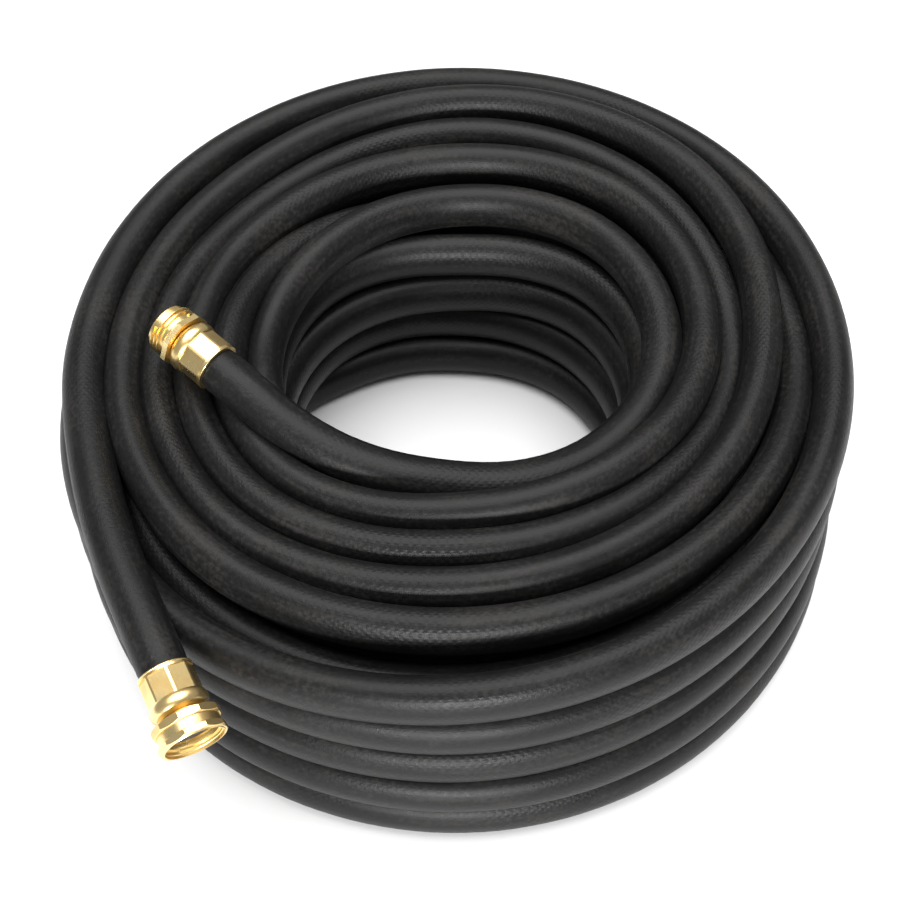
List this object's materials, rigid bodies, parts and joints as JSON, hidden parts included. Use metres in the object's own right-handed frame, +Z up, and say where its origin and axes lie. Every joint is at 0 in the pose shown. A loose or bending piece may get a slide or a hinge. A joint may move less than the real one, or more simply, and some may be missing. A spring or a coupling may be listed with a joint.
{
  "type": "soaker hose",
  "caption": "Black rubber soaker hose wound in a round coil, with a brass male thread coupling on one end and a brass swivel nut coupling on the other.",
  "frame": {"origin": "on the surface the coil lies on, under the middle of the whole object", "axes": "+Z up, along the coil's axis; -Y is the front, where the swivel coupling points; the male coupling lies on top at -X"},
  "size_m": [0.4264, 0.4431, 0.1657],
  "materials": {
    "hose_rubber": "matt black rubber with a faint braid imprint",
    "brass": "bright machined and crimped brass",
    "washer_rubber": "matt black rubber",
    "disc_plastic": "natural moulded plastic"
  },
  "bodies": {
    "hose": {"hose_coil": "hose_rubber", "hose_male_end": "hose_rubber", "hose_female_end": "hose_rubber", "male_ferrule": "brass", "male_coupling": "brass", "female_ferrule": "brass", "female_stem": "brass"},
    "swivel_nut": {"swivel_nut": "brass", "hose_washer": "washer_rubber", "flow_disc": "disc_plastic"}
  },
  "joints": [
    {"name": "nut_swivel", "type": "hinge", "parent": "hose", "child": "swivel_nut", "pos_m": [-0.11957, -0.20653, 0.11768], "axis": [0.4548, -0.8795, -0.1399], "continuous": true}
  ]
}
